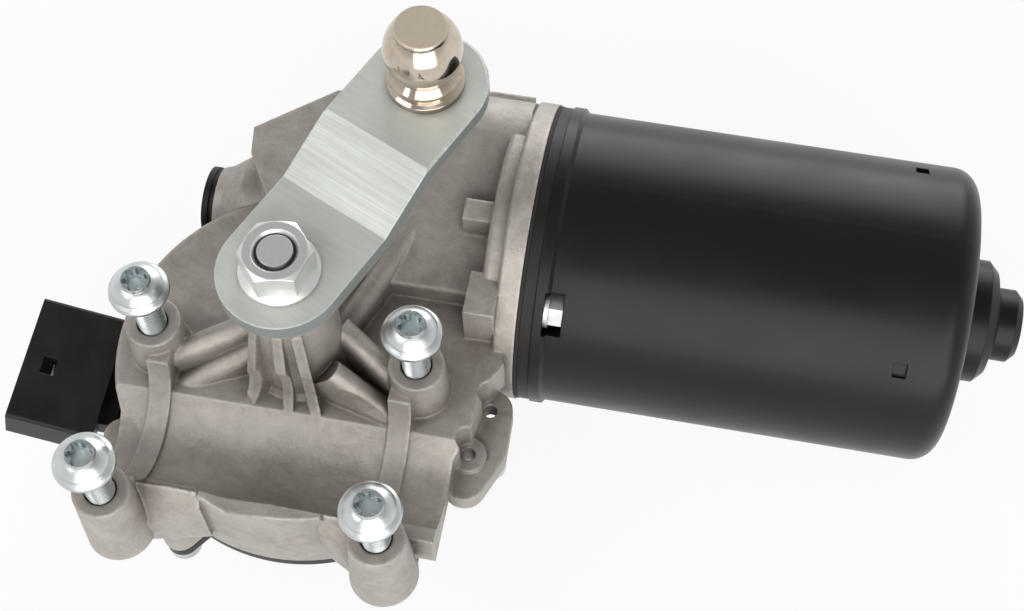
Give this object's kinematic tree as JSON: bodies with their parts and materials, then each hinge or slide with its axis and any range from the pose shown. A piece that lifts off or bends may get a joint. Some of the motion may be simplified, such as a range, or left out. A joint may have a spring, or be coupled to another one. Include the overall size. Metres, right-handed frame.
{
  "type": "wiper motor",
  "caption": "Worm-geared electric wiper motor with a cast gear housing, bracket bosses, a frame-tube saddle, a cranked output arm with a ball pin and a socket connector.",
  "frame": {"origin": "centre of the four bracket boss faces", "axes": "+Z out of the boss faces, the way the screws leave; +X along the motor shaft to the closed end of the can; +Y from the tube saddle to the motor shaft"},
  "size_m": [0.2151, 0.1216, 0.1067],
  "materials": {
    "cast_aluminium": "die cast, satin, fine grain",
    "black_paint": "satin black paint on steel",
    "black_plastic": "glass-filled black plastic",
    "zinc_plate": "zinc-plated steel with long streaks",
    "nickel_plate": "bright nickel plate",
    "bright_steel": "bright plated steel",
    "steel": "ground steel",
    "bronze": "sintered bronze and brass",
    "copper": "copper",
    "terminal": "tinned brass",
    "white_plastic": "natural moulded plastic",
    "rubber": "black rubber",
    "ferrite": "sintered ferrite",
    "graphite": "carbon brush",
    "capacitor_resin": "resin-dipped"
  },
  "bodies": {
    "housing": {"bearing_outer_ring": "bright_steel", "bearing_retainer": "steel", "brush_holders": "bronze", "brush_plate": "black_plastic", "brush_springs": "steel", "brushes": "graphite", "can_gasket": "rubber", "can_screws": "bright_steel", "capacitor": "capacitor_resin", "choke_coils": "copper", "connector_blades": "terminal", "cover_screws": "steel", "cover_seal": "rubber", "end_plug": "black_plastic", "gear_cover": "black_plastic", "gear_housing": "cast_aluminium", "lower_bush": "bronze", "magnet_clips": "steel", "magnets": "ferrite", "motor_can": "black_paint", "mounting_screws": "bright_steel", "park_fingers": "copper", "rear_bush": "bronze", "rear_bush_clip": "steel", "shaft_oring": "rubber", "thermal_cutout": "bright_steel", "thrust_pad": "white_plastic", "top_washer": "steel", "upper_bush": "bronze", "worm_bush": "bronze"},
    "output": {"output_shaft": "steel", "drive_gear": "white_plastic", "park_disc": "copper", "thrust_washer": "steel", "retaining_ring": "steel", "crank_arm": "zinc_plate", "crank_nut": "bright_steel", "ball_pin": "nickel_plate"},
    "armature": {"armature_shaft": "steel", "armature_core": "steel", "windings": "copper", "commutator": "copper", "commutator_hub": "black_plastic", "bearing_inner_ring": "bright_steel"},
    "bearing_cage_body": {"bearing_balls": "bright_steel", "bearing_cage": "steel"}
  },
  "joints": [
    {"name": "output_spin", "type": "hinge", "parent": "housing", "child": "output", "pos_m": [0.00165, 0.0226, 0], "axis": [0, 0, 1], "continuous": true},
    {"name": "armature_spin", "type": "hinge", "parent": "housing", "child": "armature", "pos_m": [0, 0.06198, -0.0232], "axis": [1, 0, 0], "continuous": true},
    {"name": "cage_spin", "type": "hinge", "parent": "housing", "child": "bearing_cage_body", "pos_m": [0, 0.06198, -0.0232], "axis": [1, 0, 0], "continuous": true}
  ],
  "couplings": [
    {"joint": "armature_spin", "follows": "output_spin", "ratio": 55},
    {"joint": "cage_spin", "follows": "output_spin", "ratio": 20.24}
  ]
}
